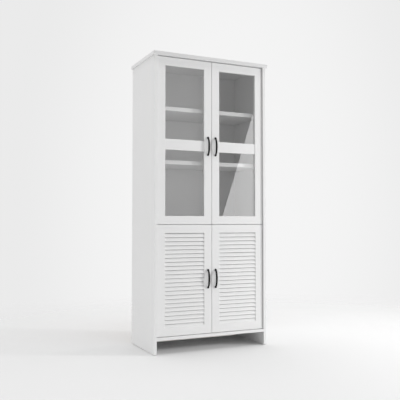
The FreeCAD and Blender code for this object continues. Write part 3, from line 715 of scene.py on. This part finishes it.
# %% Floor
FLOOR_RADIUS = 9.0
FLOOR_SIDES = 96
FADE_CENTRE = (0.3, -0.5, 0)    # to the front and right, so the floor behind fades sooner
FADE_START = 0.8                # metres from that point
FADE_END = 3.5
FLOOR_TONE = (0.835, 0.835, 0.835, 1)

floor_mesh = bpy.data.meshes.new("floor")
shape = bmesh.new()
bmesh.ops.create_circle(shape, cap_ends=True, segments=FLOOR_SIDES, radius=FLOOR_RADIUS)
shape.to_mesh(floor_mesh)
shape.free()
floor = bpy.data.objects.new("floor", floor_mesh)
bpy.context.scene.collection.objects.link(floor)

floor_material, tree = new_finish("pale_floor")
reach = Wire.make(tree, "ShaderNodeVectorMath", {"operation": "DISTANCE"},
                  {0: place_on_piece(tree), 1: FADE_CENTRE}, "Value")
fade = smooth_step(tree, reach, FADE_START, FADE_END)
paper = Wire.make(tree, "ShaderNodeBsdfDiffuse", {}, {"Color": FLOOR_TONE})
clear = Wire.make(tree, "ShaderNodeBsdfTransparent")
show(tree, Wire.make(tree, "ShaderNodeMixShader", {}, {0: fade, 1: paper, 2: clear}))
floor_mesh.materials.append(floor_material)

# %% [markdown]
# ## Surround
# Behind the cabinet hangs a bright backdrop with a tall, soft glow to its right. In front lies the room
# that the picture is taken from. It is half as bright, which keeps the glass doors clear and the
# right-hand panes dark. The far right end gives less light too, because the key stands on that side and
# the white board there would burn out. Walls could do all this, but they would stand in the way of other
# views. So the surround does it, and to the camera it always looks like the full backdrop: the cabinet
# stands on the same pale ground from all sides.

# %% Surround
BACKDROP_EDGE = 0.83            # radiance of the backdrop, far from its glow
BACKDROP_GLOW = 0.912           # and in the middle of the glow
GLOW_WAY = (0.4695, 0.8829, 0)
GLOW_SPREAD = 0.939             # cosine of the angle where the glow ends
GLOW_SQUEEZE = (1, 1, 0.5)      # height counts half, so the glow is twice as tall as it is wide
ROOM_LEVEL = 0.395              # radiance of the room in front of the cabinet
TURN_TO_ROOM = (-0.2, 0.4)      # where the room gives way to the backdrop, as a share of +Y
RIGHT_SHADE = 0.8               # light that the backdrop's right-hand end holds back
TURN_TO_SHADE = (0.1, 0.8)      # where that end begins and is full, as a share of +X

world = bpy.data.worlds.new("white_surround")
world.use_nodes = True
sky = world.node_tree
sky.nodes.clear()


def vector_math(operation, inputs, output=0):
    """Add a Vector Math node to the surround."""
    settings = {"operation": operation}
    return Wire.make(sky, "ShaderNodeVectorMath", settings, dict(enumerate(inputs)), output)


def share_along(look, axis):
    """How far a look into the surround goes along this direction, from -1 to 1."""
    return vector_math("DOT_PRODUCT", [look, axis], "Value")


way = Wire.make(sky, "ShaderNodeTexCoord", output="Generated")
flat_way = vector_math("NORMALIZE", [vector_math("MULTIPLY", [way, GLOW_SQUEEZE])])
glow = smooth_step(sky, share_along(flat_way, GLOW_WAY), GLOW_SPREAD, 1.0)
backdrop = between((BACKDROP_EDGE, BACKDROP_GLOW), glow)
shade = 1 - RIGHT_SHADE * smooth_step(sky, share_along(way, (1, 0, 0)), *TURN_TO_SHADE)
behind = smooth_step(sky, share_along(way, (0, 1, 0)), *TURN_TO_ROOM)
light = behind * backdrop * shade + (1 - behind) * ROOM_LEVEL
seen = Wire.make(sky, "ShaderNodeLightPath", output="Is Camera Ray")
surround = Wire.make(sky, "ShaderNodeBackground", {},
                     {"Color": (1, 1, 1, 1), "Strength": seen * backdrop + (1 - seen) * light})
Wire.make(sky, "ShaderNodeOutputWorld", {}, {"Surface": surround})
bpy.context.scene.world = world
bpy.context.scene.view_settings.view_transform = "Standard"
print("The surround has", len(sky.nodes), "nodes")

# %% [markdown]
# ## Softboxes
# A small key light far to the right rakes across the fronts and gives the handles their short shadows.
# Three boxes overhead light the floor, and one on the left lifts the side. The last one in this cell is
# faint and tall, and its mirror image lays an even haze over the left-hand door. Blender sets a lamp by
# its power, so a larger lamp of the same power looks dimmer. Here a softbox is set by its radiance
# instead, so that its size can change without a change in how bright it looks.

# %% Softboxes


def softbox(name, width, height, radiance, place):
    """A rectangular lamp, lit evenly, at this place."""
    lamp_data = bpy.data.lights.new(name, "AREA")
    lamp_data.shape = "RECTANGLE"
    lamp_data.size = width
    lamp_data.size_y = height
    lamp_data.energy = math.pi * width * height * radiance
    lamp = bpy.data.objects.new(name, lamp_data)
    lamp.matrix_world = place
    bpy.context.scene.collection.objects.link(lamp)
    print("Softbox", name, "stands at", [round(c, 2) for c in place.translation])
    return lamp


def aimed(place, target):
    """Where a lamp stands, turned to face its target."""
    way = Vector(target) - Vector(place)
    return Matrix.Translation(place) @ way.to_track_quat("-Z", "Y").to_matrix().to_4x4()


softbox("key", width=0.4, height=0.4, radiance=346,
        place=aimed((5.3, -3.02, 1.7), target=(0, -0.2, 1.0)))
overhead_front = softbox("overhead_front", width=4.0, height=1.0, radiance=2.65,
                         place=aimed((0, -1.3, 4.5), target=(0, -1.3, 0)))
softbox("overhead_back", width=6.0, height=4.0, radiance=0.86,
        place=aimed((0, 2.0, 5.0), target=(0, 2.0, 0)))
overhead_right = softbox("overhead_right", width=2.0, height=2.0, radiance=2.4,
                         place=aimed((2.5, 0.2, 4.0), target=(0.5, 0, 0)))
softbox("left_fill", width=2.0, height=2.0, radiance=1.2,
        place=aimed((-3.5, -0.5, 2.0), target=(0, 0, 1.0)))
softbox("left_haze", width=0.84, height=1.9, radiance=0.43,
        place=aimed((1.0, -3.2, 1.85), target=(1.0, 0, 1.85)))

# %% [markdown]
# ## The leaning panel
# The right-hand door shows a slanted bright patch. It could be painted on the pane, but then it would
# stay there from every side and go along when the door opens. It is the mirror image of a tall panel that
# leans, so a panel is what makes it. Its left edge draws the patch's sharp edge, so the panel is placed
# by a point on that edge, and its width and height can change without moving it.

# %% The leaning panel
PANEL_SIZE = (0.75, 1.9)
PANEL_RADIANCE = 1.84
PANEL_LEAN = 18.5               # degrees from upright, to the right
PANEL_EDGE = (1.667, -3.2035, 0.944)   # a point on its left edge
PANEL_BELOW = 0.35              # from that point down to the lower left corner

upright = Matrix.Rotation(math.radians(90), 4, "X")
panel_turn = upright @ Matrix.Rotation(math.radians(-PANEL_LEAN), 4, "Z")
panel_edge = Vector((-PANEL_SIZE[0] / 2, PANEL_BELOW - PANEL_SIZE[1] / 2, 0))
panel_place = Matrix.Translation(Vector(PANEL_EDGE) - panel_turn @ panel_edge) @ panel_turn
softbox("panel", *PANEL_SIZE, PANEL_RADIANCE, panel_place)

# %% [markdown]
# ## Flags
# The top board is much nearer to the overhead boxes than the floor is, and the right-hand side already
# faces the key. Both would burn out to plain white. In a studio, a black card called a flag keeps a lamp
# off one surface. Light linking does the same without a card: the boards that a lamp should leave out are
# listed in a collection.

# %% Keep the overhead boxes off two boards


def flag(lamp, names):
    """Keep a lamp's light off these nodes."""
    left_out = bpy.data.collections.new("flag_" + lamp.name)
    for name in names:
        left_out.objects.link(nodes[name])
    for item in left_out.collection_objects:
        item.light_linking.link_state = "EXCLUDE"
    lamp.light_linking.receiver_collection = left_out
    print(lamp.name, "leaves out", names)


flag(overhead_front, ["top_panel"])
flag(overhead_right, ["top_panel", "side_panel_right"])

# %% [markdown]
